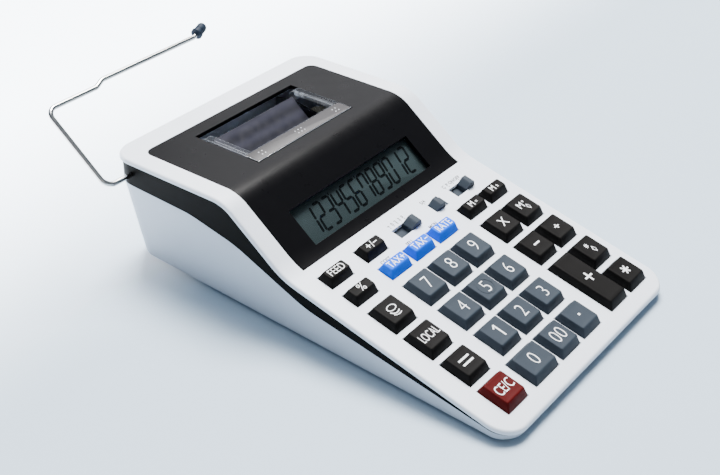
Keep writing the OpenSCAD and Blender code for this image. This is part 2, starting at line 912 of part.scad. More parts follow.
module printer_frame() {
    color("#6f7377") {
        for (x = [-plate_x - plate_t, plate_x])
            translate([x, 0, 0])
                rotate([90, 0, 90])
                    side_plate();
        for (t = ties)
            rod(-plate_x, plate_x, t[0], t[1], tie_r);
        for (x = [-1, 1], y = [plate_front + 3, bay_rear + 1])
            translate([x * (plate_x + plate_t / 2), y, (foot_h + floor_t + drum_at[1] - 21) / 2])
                cube([plate_t, 5, drum_at[1] - 21 - foot_h - floor_t], center = true);
    }
}

// Slanted guide that leads the paper up to the tear bar
guide_top = [bay_rear - 6, crest_z - 3.2];
guide_low = [bay_front + 11.8, crest_z - 20.4];
guide_t = 1.4;
guide_half = 28.5;
module paper_guide() {
    tilt = tilt_of(guide_low, guide_top);
    l = norm(guide_top - guide_low);
    color("#3d3b47") {
        translate([0, guide_low[0], guide_low[1]])
            rotate([tilt, 0, 0]) {
                block([-guide_half, 0, -guide_t], [guide_half, l, 0]);
            }
        rod(-plate_x, plate_x, guide_low[0], guide_low[1] - 1.2, 1.6);
    }
}

// Spur gear with straight-sided teeth; a tooth points along +X
module gear(teeth, thickness, bore) {
    r = gear_m * teeth / 2;
    linear_extrude(thickness)
        difference() {
            union() {
                circle(r - 1.15 * gear_m);
                for (i = [0:teeth - 1])
                    rotate(i * 360 / teeth)
                        polygon([
                            [r - 1.4 * gear_m, -0.8 * gear_m], [r, -0.55 * gear_m],
                            [r + 0.8 * gear_m, -0.25 * gear_m], [r + 0.8 * gear_m, 0.25 * gear_m],
                            [r, 0.55 * gear_m], [r - 1.4 * gear_m, 0.8 * gear_m]
                        ]);
            }
            circle(bore);
        }
}

// Sets a gear on a shaft at [y, z] so that a tooth points at angle a from +Y
module geared(at, x, a) {
    translate([x, at[0], at[1]])
        rotate([90, 0, 90])
            rotate(a)
                children();
}

module drive_gear() {
    // A tooth points at the feed gear; the pinion takes up the rest of the angle
    color("#e2dfd2")
        geared(drum_at, gear_x, -25)
            gear(drum_teeth, gear_t, axle_r);
}

module print_drum() {
    color("#5b5d63") {
        rod(-plate_x - plate_t - 1.5, gear_x + gear_t + 1, drum_at[0], drum_at[1], axle_r);
        for (i = [0:13])
            rod(-27.3 + i * 3.9, -24 + i * 3.9, drum_at[0], drum_at[1], drum_r);
        rod(-27, 26, drum_at[0], drum_at[1], drum_r - 1.6);
    }
}

module ink_roller() {
    color("#3b2f63") {
        rod(-plate_x - plate_t - 1, plate_x + plate_t + 1, ink_at[0], ink_at[1], axle_r);
        rod(-28, 28, ink_at[0], ink_at[1], ink_r);
    }
}

module feed_roller() {
    color("#303236") {
        rod(-plate_x - plate_t - 1, gear_x + 0.5, feed_at[0], feed_at[1], axle_r);
        for (i = [-2:2])
            rod(i * 12 - 4, i * 12 + 4, feed_at[0], feed_at[1], feed_r);
        geared(feed_at, gear_x, 155 + 180 / feed_teeth)
            gear(feed_teeth, gear_t, axle_r - 0.2);
    }
}

module printer_motor() {
    difference() {
        color(steel)
            rod(plate_x - motor_l, plate_x, pinion_at[0], pinion_at[1], motor_r);
        rod(plate_x - 12, plate_x + cut, pinion_at[0], pinion_at[1], motor_shaft_r + shaft_gap);
    }
}

// The pinion's gap faces the drum, in step with the drum gear's teeth
pinion_phase = 45.5 + 180 / pinion_teeth
    + ((225.5 + 25) % (360 / drum_teeth)) * drum_teeth / pinion_teeth;
module motor_pinion() {
    color("#c9a24a") {
        rod(plate_x - 11, gear_x + gear_t + 1, pinion_at[0], pinion_at[1], motor_shaft_r);
        geared(pinion_at, gear_x, pinion_phase)
            gear(pinion_teeth, gear_t + 0.6, motor_shaft_r - 0.1);
    }
}

// ---- Paper arm: a wire bent in one plane through its pivot's axis ----
module arm_frame() {
    translate([0, arm_y, arm_z])
        rotate([leg_angle, 0, 0])
            children();
}

// Straight stretch of wire between two points of the arm's plane
module wire(p, q) {
    v = q - p;
    translate([p[0], p[1], 0])
        rotate([0, 0, atan2(v[1], v[0])])
            rotate([0, 90, 0])
                cylinder(h = norm(v), r = wire_r);
}

// Bend of the wire where the run from p to the corner turns towards q. The wire is a
// hair fuller in its bends, and each bend laps a little over the straight runs.
module elbow(p, corner, q, r) {
    heading = atan2(corner[1] - p[1], corner[0] - p[0]);
    next = atan2(q[1] - corner[1], q[0] - corner[0]);
    turn = ((next - heading + 540) % 360) - 180;
    side = sign(turn);
    start = corner - r * tan(abs(turn) / 2) * [cos(heading), sin(heading)];
    centre = start + side * r * [-sin(heading), cos(heading)];
    translate([centre[0], centre[1], 0])
        rotate([0, 0, (turn > 0 ? heading - 90 : heading + 90 + turn) - bend_lap])
            rotate_extrude(angle = abs(turn) + 2 * bend_lap)
                translate([r, 0])
                    circle(wire_r + bend_extra);
}

bend_lap = 1.5;
bend_extra = 0.03;
arm_bend_r = 5;
jog_x = arm_x + bar_to_jog;
seat_x = jog_x + jog_l;
cap_x = seat_x + seat_l;
arm_path = [
    [-band_x + wall + arm_block_l + 2.5, 0], [arm_x, 0], [arm_x, leg_l], [jog_x, leg_l],
    [seat_x, leg_l + jog_out], [cap_x, leg_l + jog_out],
    [cap_x + (cap_neck + 4) * cos(cap_turn), leg_l + jog_out + (cap_neck + 4) * sin(cap_turn)]
];
bend_radii = [0, arm_bend_r, arm_bend_r, 4, 4, 6, 0];

// Length that an elbow takes from each of its two runs
function taken(i) =
    bend_radii[i] == 0 ? 0 :
    let (u = (arm_path[i] - arm_path[i - 1]) / norm(arm_path[i] - arm_path[i - 1]))
    let (v = (arm_path[i + 1] - arm_path[i]) / norm(arm_path[i + 1] - arm_path[i]))
    bend_radii[i] * tan(acos(u * v) / 2);

module paper_arm() {
    color(steel)
        arm_frame() {
            for (i = [0:len(arm_path) - 2]) {
                u = (arm_path[i + 1] - arm_path[i]) / norm(arm_path[i + 1] - arm_path[i]);
                wire(arm_path[i] + u * (taken(i) - 0.03), arm_path[i + 1] - u * (taken(i + 1) - 0.03));
            }
            for (i = [1:len(arm_path) - 2])
                elbow(arm_path[i - 1], arm_path[i], arm_path[i + 1], bend_radii[i]);
            translate([-band_x + wall + arm_block_l + 0.3, 0, 0])
                rotate([0, 90, 0])
                    cylinder(h = 0.8, r = clip_r);
        }
}

module arm_cap() {
    color("#43536b")
        arm_frame()
            translate([cap_x, leg_l + jog_out, 0])
                rotate([0, 0, cap_turn])
                    rotate([0, 90, 0])
                        translate([0, 0, cap_neck])
                            difference() {
                                union() {
                                    cylinder(h = 1.8, r = cap_r);
                                    cylinder(h = cap_l - cap_neck - 1.6, r = cap_r * 0.85);
                                    translate([0, 0, cap_l - cap_neck - 1.6])
                                        cylinder(h = 1.6, r1 = cap_r * 0.85, r2 = cap_r * 0.5);
                                }
                                translate([0, 0, -cut])
                                    cylinder(h = 4 + cut, r = wire_r);
                            }
}

key("key_feed");  // key_feed
key("key_sign");  // key_sign
key("key_percent");  // key_percent
key("key_tax_plus");  // key_tax_plus
key("key_tax_minus");  // key_tax_minus
key("key_rate");  // key_rate
key("key_memory_total");  // key_memory_total
key("key_memory_plus_minus");  // key_memory_plus_minus
key("key_exchange");  // key_exchange
key("key_7");  // key_7
key("key_8");  // key_8
key("key_9");  // key_9
key("key_multiply");  // key_multiply
key("key_memory_diamond");  // key_memory_diamond
key("key_local");  // key_local
key("key_4");  // key_4
key("key_5");  // key_5
key("key_6");  // key_6
key("key_minus");  // key_minus
key("key_divide");  // key_divide
key("key_equals");  // key_equals
key("key_1");  // key_1
key("key_2");  // key_2
key("key_3");  // key_3
key("key_plus");  // key_plus
key("key_subtotal");  // key_subtotal
key("key_clear");  // key_clear
key("key_0");  // key_0
key("key_00");  // key_00
key("key_point");  // key_point
key("key_total");  // key_total
switch_knob(decimal);  // decimal_switch
switch_knob(rounding);  // rounding_switch
switch_knob(power);  // power_switch
top_cover();
display_panel();
display_window();
lcd_glass();
mid_frame();
bottom_housing();
battery_door();
batteries();
battery_contacts();
power_jack();
feet();
case_screws();
main_board();
key_mat();
switch_bodies();
tear_bar();
paper_guide();
printer_frame();
feed_roller();
print_drum();
ink_roller();
printer_motor();
motor_pinion();
drive_gear();
paper_arm();
arm_cap();
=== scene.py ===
"""Printing desk calculator, put together in the order it is assembled."""

import math

import bmesh
import bpy
from mathutils import Matrix, Vector
from mathutils.bvhtree import BVHTree


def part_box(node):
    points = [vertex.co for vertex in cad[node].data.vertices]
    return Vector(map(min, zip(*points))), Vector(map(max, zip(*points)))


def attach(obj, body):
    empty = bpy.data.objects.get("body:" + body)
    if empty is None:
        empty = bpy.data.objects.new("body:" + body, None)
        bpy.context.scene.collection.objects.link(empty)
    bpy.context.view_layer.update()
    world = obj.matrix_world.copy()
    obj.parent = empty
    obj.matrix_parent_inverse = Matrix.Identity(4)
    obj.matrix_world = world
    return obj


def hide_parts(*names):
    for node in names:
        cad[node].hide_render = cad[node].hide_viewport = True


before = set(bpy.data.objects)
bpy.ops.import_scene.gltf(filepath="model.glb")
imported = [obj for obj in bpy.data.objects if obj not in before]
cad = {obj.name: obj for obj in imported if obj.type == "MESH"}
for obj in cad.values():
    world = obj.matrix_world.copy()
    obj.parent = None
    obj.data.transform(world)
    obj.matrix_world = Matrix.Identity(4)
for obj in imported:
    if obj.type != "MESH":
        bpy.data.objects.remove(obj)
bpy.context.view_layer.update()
MM = 0.001

# ---- View, table and light ----
# The calculator stands on a pale sheet with a painted glow that grows brighter towards the
# back. One large lamp stands high on the right, and the view is from its left front corner.
camera = bpy.data.objects.new("camera", bpy.data.cameras.new("camera"))
camera.data.sensor_width = 36
camera.data.lens = 61.2
camera.location = (-0.3900, -0.2732, 0.3389)
camera.rotation_euler = [math.radians(a) for a in (56.0, -1.24, -52.44)]
bpy.context.scene.collection.objects.link(camera)
bpy.context.scene.camera = camera


def shader(name, colour, roughness):
    """New material with a principled shader, and its node tree to add to."""
    material = bpy.data.materials.new(name)
    material.use_nodes = True
    tree = material.node_tree
    surface = tree.nodes["Principled BSDF"]
    surface.inputs["Base Color"].default_value = (*colour, 1)
    surface.inputs["Roughness"].default_value = roughness
    return material, tree, surface


def noise(tree, scale, detail=3.0):
    """Noise on the piece's own coordinates, scale in features per metre."""
    place = tree.nodes.new("ShaderNodeTexCoord")
    field = tree.nodes.new("ShaderNodeTexNoise")
    field.inputs["Scale"].default_value = scale
    field.inputs["Detail"].default_value = detail
    tree.links.new(place.outputs["Object"], field.inputs["Vector"])
    return field


def spread(tree, field, socket, low, high):
    """Feeds the noise into a number socket, between low and high."""
    band = tree.nodes.new("ShaderNodeMapRange")
    band.inputs["From Min"].default_value = 0.3
    band.inputs["From Max"].default_value = 0.7
    band.inputs["To Min"].default_value = low
    band.inputs["To Max"].default_value = high
    tree.links.new(field.outputs["Fac"], band.inputs["Value"])
    tree.links.new(band.outputs["Result"], socket)


def mottle(tree, field, socket, colour, share):
    """Lets the noise lighten and darken a colour by share."""
    mix = tree.nodes.new("ShaderNodeMix")
    mix.data_type = "RGBA"
    mix.inputs[6].default_value = (*[c * (1 - share) for c in colour], 1)
    mix.inputs[7].default_value = (*[min(1, c * (1 + share)) for c in colour], 1)
    tree.links.new(field.outputs["Fac"], mix.inputs["Factor"])
    tree.links.new(mix.outputs[2], socket)


def grain(tree, field, surface, height):
    """Raises a fine relief of that height, in metres, on the surface."""
    bump = tree.nodes.new("ShaderNodeBump")
    bump.inputs["Strength"].default_value = 1.0
    bump.inputs["Distance"].default_value = height
    tree.links.new(field.outputs["Fac"], bump.inputs["Height"])
    tree.links.new(bump.outputs["Normal"], surface.inputs["Normal"])


def table_top():
    """Pale melamine with a faint cloudiness, and a painted glow that grows towards the back."""
    colour = (0.46, 0.57, 0.68)
    material, tree, surface = shader("table_top", colour, 0.6)
    mottle(tree, noise(tree, 2.5), surface.inputs["Base Color"], colour, 0.015)
    grain(tree, noise(tree, 1500), surface, 0.00002)
    surface.inputs["Specular IOR Level"].default_value = 0.2
    # Painted light: the emission rises from nothing near the front to strong at the back, in place of
    # light falling off from behind.
    place = tree.nodes.new("ShaderNodeTexCoord")
    parts = tree.nodes.new("ShaderNodeSeparateXYZ")
    painted_glow_ramp = tree.nodes.new("ShaderNodeMapRange")
    painted_glow_ramp.interpolation_type = "SMOOTHSTEP"
    painted_glow_ramp.inputs["From Min"].default_value = 0.05
    painted_glow_ramp.inputs["From Max"].default_value = 0.28
    painted_glow_ramp.inputs["To Max"].default_value = 6.5
    tree.links.new(place.outputs["Object"], parts.inputs["Vector"])
    tree.links.new(parts.outputs["Y"], painted_glow_ramp.inputs["Value"])
    tree.links.new(painted_glow_ramp.outputs["Result"], surface.inputs["Emission Strength"])
    surface.inputs["Emission Color"].default_value = (0.92, 0.96, 1.0, 1)
    return material


table = bmesh.new()
bmesh.ops.create_grid(table, x_segments=8, y_segments=8, size=6)
table_mesh = bpy.data.meshes.new("table")
table.to_mesh(table_mesh)
table.free()
table_mesh.materials.append(table_top())
table_object = bpy.data.objects.new("table", table_mesh)
bpy.context.scene.collection.objects.link(table_object)


def soft_box(name, place, aim, width, height, power, colour):
    """Rectangular area light at place that faces aim."""
    light = bpy.data.lights.new(name, "AREA")
    light.shape = "RECTANGLE"
    light.size = width
    light.size_y = height
    light.energy = power
    light.color = colour
    holder = bpy.data.objects.new(name, light)
    holder.location = place
    holder.rotation_euler = (Vector(aim) - Vector(place)).to_track_quat("-Z", "Y").to_euler()
    bpy.context.scene.collection.objects.link(holder)


soft_box("lamp", (0.62, 0.55, 1.75), (0, 0, 0.03), 0.9, 0.9, 150, (1.0, 0.98, 0.96))
soft_box("ceiling", (0.1, 0.7, 2.3), (0, 0, 0), 1.2, 1.2, 24, (0.84, 0.92, 1.0))
soft_box("wall", (2.4, 1.8, 2.0), (0, 0, 0.05), 1.5, 1.5, 26, (0.98, 0.97, 1.0))
soft_box("card", (-1.6, -1.1, 1.5), (0, 0, 0.05), 1.5, 1.5, 4, (1.0, 0.97, 0.94))
world = bpy.data.worlds.new("room")
world.use_nodes = True
world.node_tree.nodes["Background"].inputs["Color"].default_value = (0.74, 0.86, 1.0, 1)
world.node_tree.nodes["Background"].inputs["Strength"].default_value = 0.28
bpy.context.scene.world = world

# ---- Lower housing and battery door ----
# Deep tray with drafted walls, injection moulded in white plastic with a fine spark
# finish. The door slides into its floor, and both have lightly broken edges. Both are
# painted a darker grey-blue than the cover, as painted shade on their sides.


def plastic(name, colour, roughness, relief=0.000012, cloud=0.03, gloss=0.5):
    """Moulded plastic: spark-finish grain, a cloudy tint and uneven gloss."""
    material, tree, surface = shader(name, colour, roughness)
    fine = noise(tree, 5200, 2.0)
    broad = noise(tree, 45)
    mottle(tree, broad, surface.inputs["Base Color"], colour, cloud)
    spread(tree, noise(tree, 140), surface.inputs["Roughness"], roughness - 0.02, roughness + 0.03)
    grain(tree, fine, surface, relief)
    surface.inputs["Specular IOR Level"].default_value = gloss
    return material


def merged_copy(node):
    """Mesh of a frame node with its doubles merged and flat faces joined."""
    mesh = bmesh.new()
    mesh.from_mesh(cad[node].data)
    bmesh.ops.remove_doubles(mesh, verts=mesh.verts, dist=0.000002)
    bmesh.ops.dissolve_limit(
        mesh, angle_limit=math.radians(0.6), use_dissolve_boundaries=False,
        verts=mesh.verts, edges=mesh.edges)
    return mesh


def finished(name, mesh, material, body, stands_for=(), smooth_angle=38):
    """Turns a bmesh into a piece that rides on a body, smooth up to an angle."""
    data = bpy.data.meshes.new(name)
    for face in mesh.faces:
        face.smooth = True
    for edge in mesh.edges:
        folded = len(edge.link_faces) == 2 and edge.calc_face_angle(0) > math.radians(smooth_angle)
        edge.smooth = not folded
    mesh.to_mesh(data)
    mesh.free()
    for part in material if isinstance(material, (list, tuple)) else [material]:
        data.materials.append(part)
    piece = bpy.data.objects.new(name, data)
    bpy.context.scene.collection.objects.link(piece)
    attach(piece, body)
    if stands_for:
        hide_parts(*stands_for)
    return piece


def break_edges(piece, width, segments=2, angle=32):
    """Rounds every sharp edge of a piece by width."""
    edge = piece.modifiers.new("broken_edges", "BEVEL")
    edge.width = width
    edge.segments = segments
    edge.limit_method = "ANGLE"
    edge.angle_limit = math.radians(angle)
    edge.harden_normals = True
    edge.use_clamp_overlap = True
    return piece


white_plastic = plastic("white_plastic", (0.78, 0.83, 0.91), 0.40, gloss=0.3)
# Painted shade: the cover's white plastic, darkened to grey-blue for the shade on the housing's and
# door's sides.
shade_painted_white = plastic("shade_painted_white", (0.54, 0.59, 0.67), 0.42, gloss=0.3)
housing = finished(
    "lower_housing", merged_copy("bottom_housing"), shade_painted_white, "case",
    ["bottom_housing"])
break_edges(housing, 0.5 * MM)
door = finished(
    "sliding_door", merged_copy("battery_door"), shade_painted_white, "battery_door",
    ["battery_door"])
break_edges(door, 0.2 * MM)

# ---- Feet, screws, cells and boards ----
# Four rubber feet are glued on, and zinc screws pull the housing to the cover. The
# cells, their contacts, the printed board and the silicone key mat lie inside.


def give(nodes_and_material):
    """Puts one material on each of the frame's nodes."""
    for node, material in nodes_and_material:
        cad[node].data.materials.clear()
        cad[node].data.materials.append(material)


def metal(name, colour, roughness, scratch=900):
    """Bare metal with a brushed or drawn unevenness."""
    material, tree, surface = shader(name, colour, roughness)
    surface.inputs["Metallic"].default_value = 1.0
    streaks = noise(tree, scratch, 4.0)
    spread(tree, streaks, surface.inputs["Roughness"], roughness * 0.7, roughness * 1.3)
    mottle(tree, noise(tree, 60), surface.inputs["Base Color"], colour, 0.06)
    grain(tree, streaks, surface, 0.000004)
    return material


give([
    ("feet", plastic("foot_rubber", (0.030, 0.032, 0.036), 0.75, 0.00003)),
    ("case_screws", metal("zinc_screw", (0.55, 0.55, 0.53), 0.35)),
    ("batteries", plastic("cell_sleeve", (0.04, 0.10, 0.05), 0.30, 0.000004, 0.15)),
    ("battery_contacts", metal("nickel_contact", (0.62, 0.61, 0.58), 0.28)),
    ("power_jack", plastic("jack_plastic", (0.012, 0.012, 0.014), 0.45)),
    ("main_board", plastic("solder_resist", (0.010, 0.070, 0.030), 0.30, 0.00001, 0.2)),
    ("key_mat", plastic("silicone_mat", (0.42, 0.44, 0.45), 0.60, 0.00001)),
    ("switch_bodies", plastic("switch_body", (0.035, 0.042, 0.050), 0.50)),
])

# ---- Band ----
# One ring of black plastic between housing and cover. It carries the arm's boss on
# the left and the paper's inlet slot at the rear.
black_plastic = plastic("black_plastic", (0.0022, 0.0018, 0.0015), 0.5, 0.000004, gloss=0.04)
band = finished(
    "black_band", merged_copy("mid_frame"), black_plastic, "case", ["mid_frame"])
break_edges(band, 0.2 * MM)

# ---- Top cover ----
# White moulded shell that folds from the keypad up to the display and the roof. Its
# rim is well rounded, and the openings for keys and switches are only broken.
cover_low, cover_high = (Vector(corner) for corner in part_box("top_cover"))
rim_corner = 12 * MM
rim_round = 1.3 * MM


def bevelled(mesh, edges, width, segments, clamp=False):
    """Rounds edges of a bmesh, and says which faces are new."""
    return bmesh.ops.bevel(
        mesh, geom=edges, offset=width, segments=segments, profile=0.5, affect="EDGES",
        clamp_overlap=clamp, material=-1)["faces"]


def off_outline(point):
    """Distance of a point from the cover's rounded outline, in plan."""
    x = abs(point.x) - cover_high.x + rim_corner
    y = abs(point.y) - cover_high.y + rim_corner
    return abs(math.hypot(max(x, 0), max(y, 0)) + min(max(x, y), 0) - rim_corner)


def on_rim(edge):
    """True for an upper edge of the cover's rim."""
    if len(edge.link_faces) != 2 or edge.calc_face_angle(0) < math.radians(40):
        return False
    upward = max(face.normal.z for face in edge.link_faces)
    return upward > 0.5 and all(off_outline(v.co) < 0.05 * MM for v in edge.verts)


cover_mesh = merged_copy("top_cover")
rim = [edge for edge in cover_mesh.edges if on_rim(edge)]
bevelled(cover_mesh, rim, rim_round, 5)
cover = finished("top_shell", cover_mesh, white_plastic, "case", ["top_cover"])
break_edges(cover, 0.22 * MM)

# ---- Dark panel ----
# Thin charcoal trim let flush into the cover from the fold to the rear. It is satin
# plastic, and its edges catch a narrow line of light.
panel_plastic = plastic("panel_plastic", (0.0030, 0.0030, 0.0036), 0.29, 0.0000002, 0.03, 0.06)
panel = finished(
    "dark_trim", merged_copy("display_panel"), panel_plastic, "case",
    ["display_panel"])
break_edges(panel, 0.12 * MM)

# ---- Display ----
# A clear window lies under the opening, and below it the liquid crystal glass with
# twelve leaning seven-stroke digits and a small mark after every third.
display_tilt = math.radians(36)
digit_height = 13.4 * MM
digit_width = 4.3 * MM
digit_pitch = 6.5 * MM
stroke = 1.35 * MM
digit_lean = math.tan(math.radians(9))
print_thick = 0.06 * MM


def slope_box(node, tilt):
    """Lowest and highest corner of a node, measured along a slope of the case."""
    level = Matrix.Rotation(-tilt, 3, "X")
    points = [level @ v.co for v in cad[node].data.vertices]
    return (
        Vector(min(p[i] for p in points) for i in range(3)),
        Vector(max(p[i] for p in points) for i in range(3)))


window_low, window_high = slope_box("display_window", display_tilt)
glass_low, glass_high = slope_box("lcd_glass", display_tilt)


def upright(edge):
    """True for an edge that climbs more than it runs along."""
    a, b = (v.co for v in edge.verts)
    return abs(a.z - b.z) > 0.5 * (a - b).length


def plate(low, high, corner, edge):
    """Rounded rectangular plate between two corners."""
    mesh = bmesh.new()
    bmesh.ops.create_cube(mesh, size=1)
    bmesh.ops.scale(mesh, vec=high - low, verts=mesh.verts)
    bmesh.ops.translate(mesh, vec=(low + high) / 2, verts=mesh.verts)
    bevelled(mesh, [e for e in mesh.edges if upright(e)], corner, 4)
    bevelled(mesh, [e for e in mesh.edges if e.calc_face_angle(0) > 1], edge, 2)
    return mesh


def stood_on(mesh, tilt, offset=Vector()):
    """Turns a mesh made level onto a slope of the case."""
    bmesh.ops.translate(mesh, vec=offset, verts=mesh.verts)
    bmesh.ops.rotate(mesh, cent=(0, 0, 0), matrix=Matrix.Rotation(tilt, 3, "X"), verts=mesh.verts)
    return mesh


window_plate = stood_on(plate(window_low, window_high, 1 * MM, 0.1 * MM), display_tilt)
window_acrylic, window_tree, window_surface = shader("window_acrylic", (0.006, 0.008, 0.009), 0.08)
window_surface.inputs["Alpha"].default_value = 0.16
grain(window_tree, noise(window_tree, 60), window_surface, 0.000004)
finished("clear_window", window_plate, window_acrylic, "case", ["display_window"])


def crystal_glass():
    """Grey-green glass with a faint vertical shading."""
    colour = (0.040, 0.060, 0.064)
    material, tree, surface = shader("crystal_glass", colour, 0.5)
    mottle(tree, noise(tree, 30), surface.inputs["Base Color"], colour, 0.10)
    grain(tree, noise(tree, 4000), surface, 0.0000005)
    surface.inputs["Specular IOR Level"].default_value = 0.05
    return material


glass_plate = stood_on(plate(glass_low, glass_high, 1 * MM, 0.15 * MM), display_tilt)
finished("crystal_plate", glass_plate, crystal_glass(), "case", ["lcd_glass"])

# Strokes of a digit: its middle in half widths and half heights, and whether it lies flat
STROKES = {
    "a": (0, 1, True), "b": (1, 0.5, False), "c": (1, -0.5, False), "d": (0, -1, True),
    "e": (-1, -0.5, False), "f": (-1, 0.5, False), "g": (0, 0, True),
}
LIT = {
    "1": "bc", "2": "abged", "3": "abgcd", "4": "fgbc", "5": "afgcd", "6": "afgedc",
    "7": "abcf", "8": "abcdefg", "9": "abcdfg", "0": "abcdef",
}


def bar(mesh, x, y, length, thickness, flat):
    """Pointed bar lying on the glass."""
    new = bmesh.ops.create_cube(mesh, size=1)["verts"]
    size = (length, thickness, print_thick) if flat else (thickness, length, print_thick)
    bmesh.ops.scale(mesh, vec=size, verts=new)
    bmesh.ops.translate(mesh, vec=(x, y, 0), verts=new)
    edges = {e for v in new for e in v.link_edges if upright(e)}
    bevelled(mesh, list(edges), thickness * 0.42, 1)


digits = bmesh.new()
shown = "123456789012"
for place, figure in enumerate(shown):
    middle = (place - (len(shown) - 1) / 2) * digit_pitch + 1.6 * MM
    for name in LIT[figure]:
        across, up, flat = STROKES[name]
        length = digit_width - 0.25 * stroke if flat else digit_height / 2 - 0.25 * stroke
        bar(digits, middle + across * digit_width / 2, up * digit_height / 2, length, stroke, flat)
    if place % 3 == 2 and place < len(shown) - 1:
        bar(digits, middle + digit_pitch / 2, digit_height * 0.52, 1.5 * MM, 0.5 * MM, False)
for v in digits.verts:
    v.co.x += v.co.y * digit_lean
glass_middle = (glass_low + glass_high) / 2
stood_on(digits, display_tilt, Vector((0, glass_middle.y, glass_high.z + 0.035 * MM)))
finished(
    "display_digits", digits,
    plastic("liquid_crystal", (0.0006, 0.0018, 0.0022), 0.5, 0.000001, gloss=0.02),
    "case", ())

# ---- Keys ----
# Each key is a hollow cap moulded in coloured plastic, steeper at its front than at
# its back, with a shallow dished top and soft edges. Tabs under the cover hold it in.
keypad_tilt = math.radians(12.4)
cap_height = 3.8 * MM
tab_reach = 0.8 * MM
tab_length = 5 * MM
tab_thick = 0.7 * MM
side_taper = 1.0 * MM
front_taper = 2.3 * MM
back_taper = 1.1 * MM
dish_depth = 0.2 * MM
cap_wall = 0.9 * MM
cap_corner = 0.75 * MM
crown_round = 0.4 * MM
hollow_height = 2.7 * MM

slate_plastic = plastic("slate_plastic", (0.027, 0.036, 0.048), 0.60, 0.000006, 0.04, 0.12)
jet_plastic = plastic("jet_plastic", (0.0028, 0.0025, 0.0024), 0.60, 0.000006, 0.05, 0.08)
blue_plastic = plastic("blue_plastic", (0.0002, 0.115, 0.80), 0.55, 0.00001, 0.04, 0.04)
maroon_plastic = plastic("maroon_plastic", (0.060, 0.0008, 0.0008), 0.55, 0.00001, 0.05, 0.08)


def key_cap(width, depth, base, top):
    """Key cap with a dished top, hollow below, its middle at x = y = 0."""
    mesh = bmesh.new()
    shoulder = top - cap_height + 0.4 * MM
    bmesh.ops.create_cube(mesh, size=1)
    bmesh.ops.scale(mesh, vec=(width, depth, shoulder - base), verts=mesh.verts)
    bmesh.ops.translate(mesh, vec=(0, 0, (shoulder + base) / 2), verts=mesh.verts)
    lid = max(mesh.faces, key=lambda f: f.calc_center_median().z)
    crown = bmesh.ops.extrude_discrete_faces(mesh, faces=[lid])["faces"][0]
    for v in crown.verts:
        v.co.z = top
        v.co.x -= math.copysign(side_taper, v.co.x)
        v.co.y += front_taper if v.co.y < 0 else -back_taper
    bevelled(mesh, [e for e in mesh.edges if upright(e)], cap_corner, 3)
    crown = max(mesh.faces, key=lambda f: f.calc_center_median().z)
    bevelled(mesh, list(crown.edges), crown_round, 3)
    crown = max(mesh.faces, key=lambda f: (round(f.calc_center_median().z, 6), f.calc_area()))
    half_size = Vector((width / 2 - side_taper, (depth - front_taper - back_taper) / 2))
    centre = Vector((0, (front_taper - back_taper) / 2))
    for share in (0.84, 0.66, 0.46, 0.24):
        crown = bmesh.ops.extrude_discrete_faces(mesh, faces=[crown])["faces"][0]
        outer = max(v.co.x for v in crown.verts) / half_size.x
        for v in crown.verts:
            v.co.x *= share / outer
            v.co.y = centre.y + (v.co.y - centre.y) * share / outer
            v.co.z = top - dish_depth * (1 - share ** 4)
    opening = min(mesh.faces, key=lambda f: f.calc_center_median().z)
    bmesh.ops.inset_region(mesh, faces=[opening], thickness=cap_wall)
    ceiling = bmesh.ops.extrude_discrete_faces(mesh, faces=[opening])["faces"][0]
    for v in ceiling.verts:
        v.co.z = base + hollow_height
    return mesh


def tab(mesh, x, width, base):
    """Small tab under the cover, at both sides of a key."""
    new = bmesh.ops.create_cube(mesh, size=1)["verts"]
    bmesh.ops.scale(mesh, vec=(width, tab_length, tab_thick), verts=new)
    bmesh.ops.translate(mesh, vec=(x, 0, base + tab_thick / 2), verts=new)


def lettering(text, height, bold=0.0, narrow=1.0):
    """Raised print of that letter height, middle at the origin, as a bmesh."""
    curve = bpy.data.curves.new("print", "FONT")
    curve.body = text
    curve.size = 1
    curve.resolution_u = 5
    curve.extrude = 0.03 * MM / height * 0.73
    curve.offset = bold
    holder = bpy.data.objects.new("print", curve)
    bpy.context.scene.collection.objects.link(holder)
    graph = bpy.context.evaluated_depsgraph_get()
    data = bpy.data.meshes.new_from_object(holder.evaluated_get(graph))
    mesh = bmesh.new()
    mesh.from_mesh(data)
    bpy.data.objects.remove(holder)
    bpy.data.curves.remove(curve)
    bpy.data.meshes.remove(data)
    xs = [v.co.x for v in mesh.verts]
    ys = [v.co.y for v in mesh.verts]
    middle = Vector(((min(xs) + max(xs)) / 2, (min(ys) + max(ys)) / 2, 0))
    bmesh.ops.translate(mesh, vec=-middle, verts=mesh.verts)
    size = height / 0.73
    bmesh.ops.scale(mesh, vec=(size * narrow, size, size), verts=mesh.verts)
    return mesh


def joined(meshes):
    """One bmesh out of several."""
    whole = bmesh.new()
    for mesh in meshes:
        data = bpy.data.meshes.new("join")
        mesh.to_mesh(data)
        mesh.free()
        whole.from_mesh(data)
        bpy.data.meshes.remove(data)
    return whole


def laid_on(sign, ground, lift, ceiling=1.0):
    """Drops a thin level print onto the surface under it, so that it follows each hollow."""
    tree = BVHTree.FromBMesh(ground)
    found = 0.0
    for v in sign.verts:
        hit = tree.ray_cast(Vector((v.co.x, v.co.y, 1)), Vector((0, 0, -1)))[0]
        found = hit.z if hit else found
        v.co.z = min(found + lift + v.co.z, ceiling)
    return sign


def narrowed(sign, reach):
    """Squeezes a sign sideways until it stays within reach of its middle."""
    widest = max(abs(v.co.x) for v in sign.verts)
    bmesh.ops.scale(sign, vec=(min(1, reach / widest), 1, 1), verts=sign.verts)
    return sign


def turned(mesh, angle):
    """The same mesh turned on its plane."""
    bmesh.ops.rotate(
        mesh, cent=(0, 0, 0), matrix=Matrix.Rotation(math.radians(angle), 3, "Z"), verts=mesh.verts)
    return mesh


def shifted(mesh, x, y):
    """The same mesh moved on its plane."""
    bmesh.ops.translate(mesh, vec=(x, y, 0), verts=mesh.verts)
    return mesh


